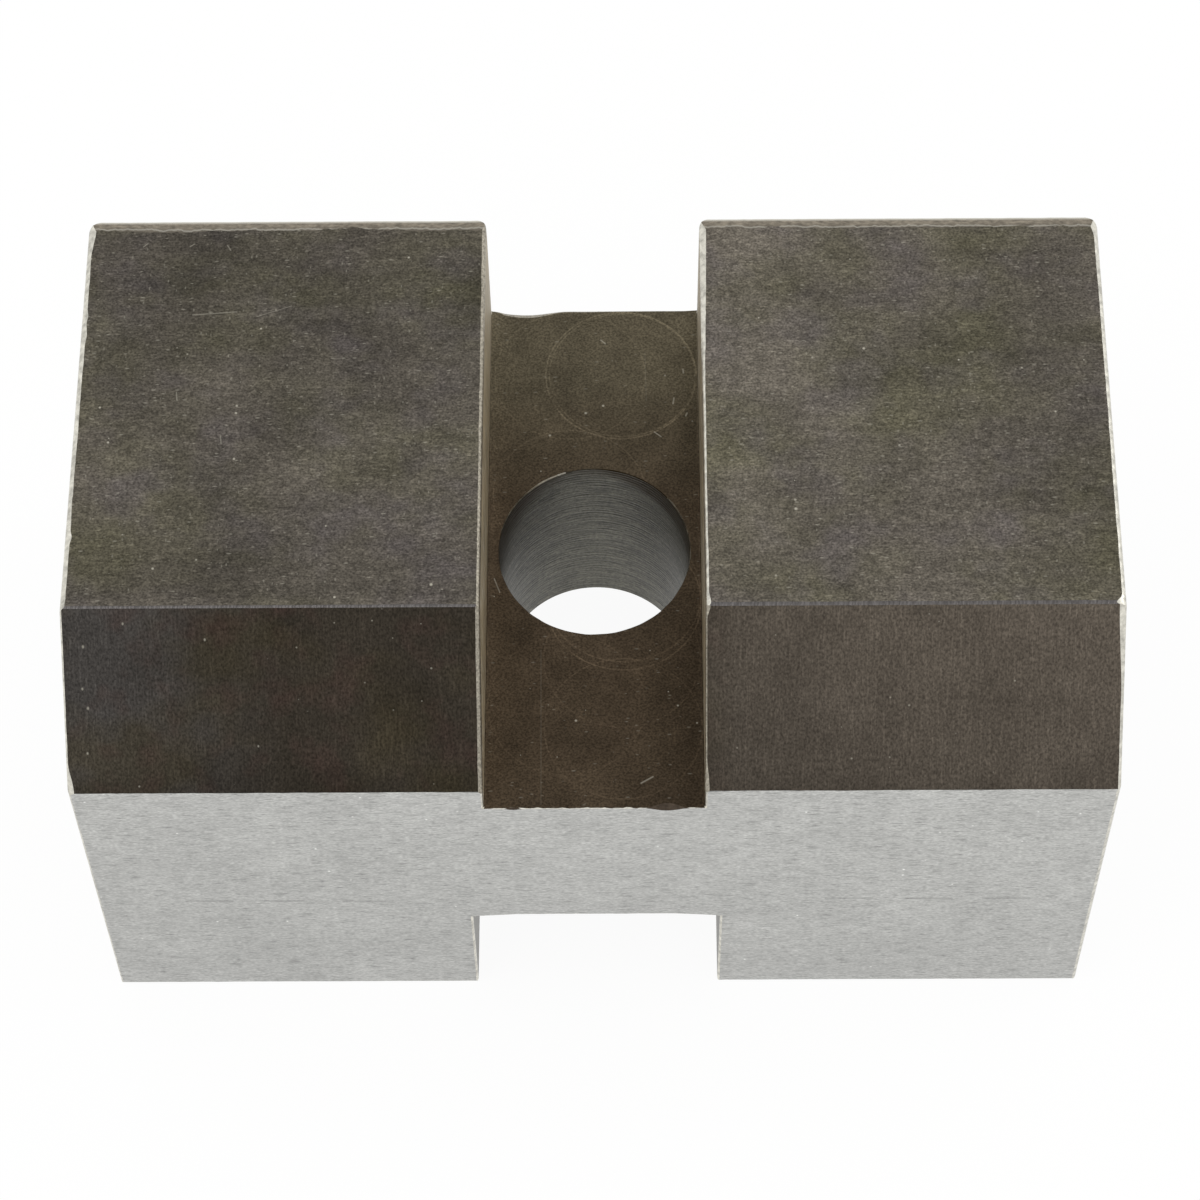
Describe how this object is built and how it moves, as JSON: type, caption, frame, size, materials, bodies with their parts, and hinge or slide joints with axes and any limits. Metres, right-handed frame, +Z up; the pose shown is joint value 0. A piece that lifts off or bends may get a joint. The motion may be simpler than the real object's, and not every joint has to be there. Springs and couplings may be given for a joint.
{
  "type": "machined mounting block",
  "caption": "Blackened steel mounting block with a slot across its top and another across its bottom, a bore between them and a chamfered front edge.",
  "frame": {"origin": "middle of the bottom face, on the bore's axis", "axes": "+X along the length of the bar, +Y to the back, away from the chamfered face, +Z up along the bore"},
  "size_m": [0.0444, 0.0254, 0.0254],
  "materials": {
    "blackened_steel": "milled from ground bar and chemically blackened: dark warm grey on the milled top faces, paler and brushed on the bar's own faces, bright where edges are filed"
  },
  "bodies": {
    "root": {"mounting_block": "blackened_steel"}
  },
  "joints": []
}
